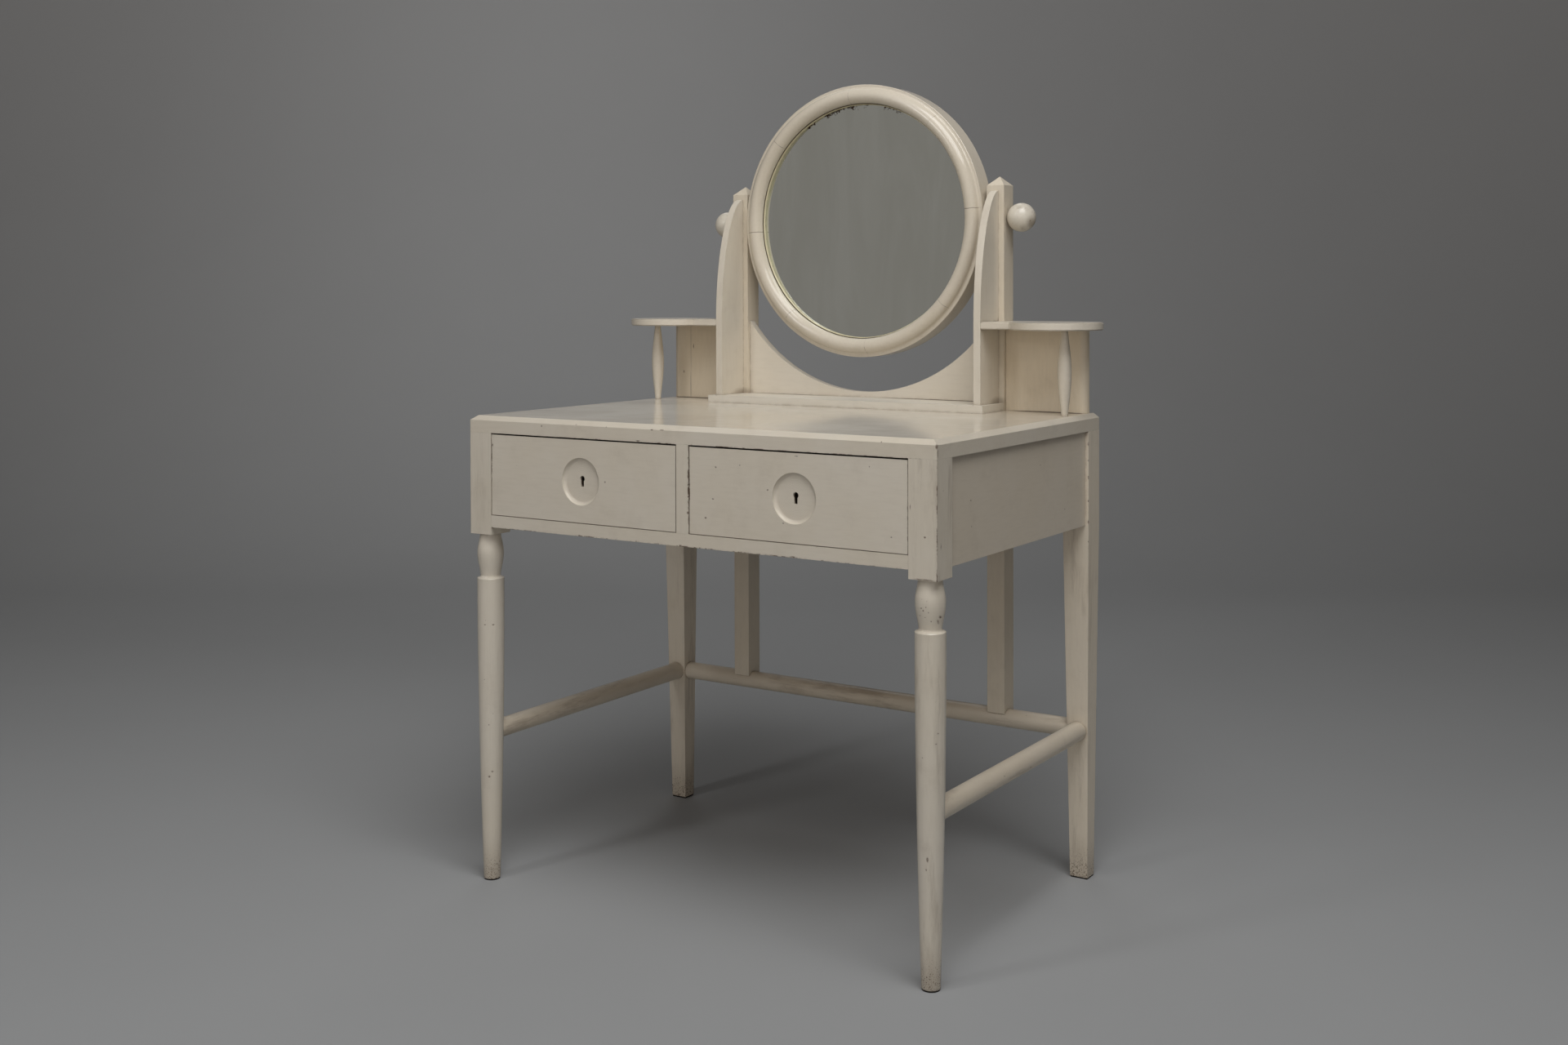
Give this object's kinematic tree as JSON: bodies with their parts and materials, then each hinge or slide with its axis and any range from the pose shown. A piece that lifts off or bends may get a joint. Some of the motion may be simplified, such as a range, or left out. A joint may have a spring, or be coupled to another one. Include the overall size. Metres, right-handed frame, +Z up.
{
  "type": "dressing table",
  "caption": "Painted dressing table with drawers, a round tilting mirror between two posts, and a round-ended shelf on a spindle at each side.",
  "frame": {"origin": "on the floor under the middle of the whole object's footprint", "axes": "+Z up, -Y towards the person who sits at the table, +X to that person's right as seen facing the mirror"},
  "size_m": [0.897, 0.5592, 1.286],
  "materials": {
    "cream_paint": "worn satin-gloss cream paint on wood, chipped to brown at the edges",
    "bare_wood": "unfinished softwood, planed",
    "slip_paint": "yellowed cream paint on wood",
    "silvered_glass": "old silvered glass, hazy, with dark spots near its rim",
    "steel": "dull steel",
    "glide": "dark worn metal"
  },
  "bodies": {
    "table": {"top_board": "cream_paint", "front_leg_left": "cream_paint", "front_leg_right": "cream_paint", "rear_leg_left": "cream_paint", "rear_leg_right": "cream_paint", "foot_glides": "glide", "side_panel_left": "cream_paint", "side_panel_right": "cream_paint", "case_back": "cream_paint", "front_rail": "cream_paint", "drawer_divider": "cream_paint", "runner_left": "bare_wood", "runner_middle": "bare_wood", "runner_right": "bare_wood", "guide_left": "bare_wood", "guide_middle": "bare_wood", "guide_right": "bare_wood", "drawer_stops": "bare_wood", "stretcher_left": "cream_paint", "stretcher_right": "cream_paint", "stretcher_rear": "cream_paint", "plinth": "cream_paint", "post_left": "cream_paint", "post_right": "cream_paint", "post_screws": "steel", "bracket_left": "cream_paint", "bracket_right": "cream_paint", "arched_board": "cream_paint", "niche_board_left": "cream_paint", "niche_board_right": "cream_paint", "side_shelf_left": "cream_paint", "side_shelf_right": "cream_paint", "spindle_left": "cream_paint", "spindle_right": "cream_paint"},
    "mirror": {"mirror_frame": "cream_paint", "mirror_slip": "slip_paint", "mirror_glass": "silvered_glass", "mirror_backboard": "bare_wood", "mirror_pins": "steel", "pivot_rods": "steel", "pivot_washers": "cream_paint"},
    "knob_left": {"knob_left": "cream_paint"},
    "knob_right": {"knob_right": "cream_paint"},
    "drawer_left": {"drawer_front_left": "cream_paint", "drawer_side_left_outer": "bare_wood", "drawer_side_left_inner": "bare_wood", "drawer_back_left": "bare_wood", "drawer_bottom_left": "bare_wood", "lock_left": "steel"},
    "drawer_right": {"drawer_front_right": "cream_paint", "drawer_side_right_outer": "bare_wood", "drawer_side_right_inner": "bare_wood", "drawer_back_right": "bare_wood", "drawer_bottom_right": "bare_wood", "lock_right": "steel"},
    "bolt_left": {"lock_bolt_left": "steel"},
    "bolt_right": {"lock_bolt_right": "steel"}
  },
  "joints": [
    {"name": "drawer_left_slide", "type": "slide", "parent": "table", "child": "drawer_left", "axis": [0, -1, 0], "range_m": [0, 0.3]},
    {"name": "drawer_right_slide", "type": "slide", "parent": "table", "child": "drawer_right", "axis": [0, -1, 0], "range_m": [0, 0.3]},
    {"name": "mirror_tilt", "type": "hinge", "parent": "table", "child": "mirror", "pos_m": [0, 0.25612, 1.054], "axis": [1, 0, 0], "continuous": true},
    {"name": "knob_left_turn", "type": "hinge", "parent": "mirror", "child": "knob_left", "pos_m": [-0.2866, 0.25612, 1.054], "axis": [-1, 0, 0], "range_deg": [0, 360]},
    {"name": "knob_right_turn", "type": "hinge", "parent": "mirror", "child": "knob_right", "pos_m": [0.2866, 0.25612, 1.054], "axis": [1, 0, 0], "range_deg": [0, 360]},
    {"name": "lock_bolt_left_throw", "type": "slide", "parent": "drawer_left", "child": "bolt_left", "axis": [0, 0, 1], "range_m": [0, 0.008]},
    {"name": "lock_bolt_right_throw", "type": "slide", "parent": "drawer_right", "child": "bolt_right", "axis": [0, 0, 1], "range_m": [0, 0.008]}
  ]
}
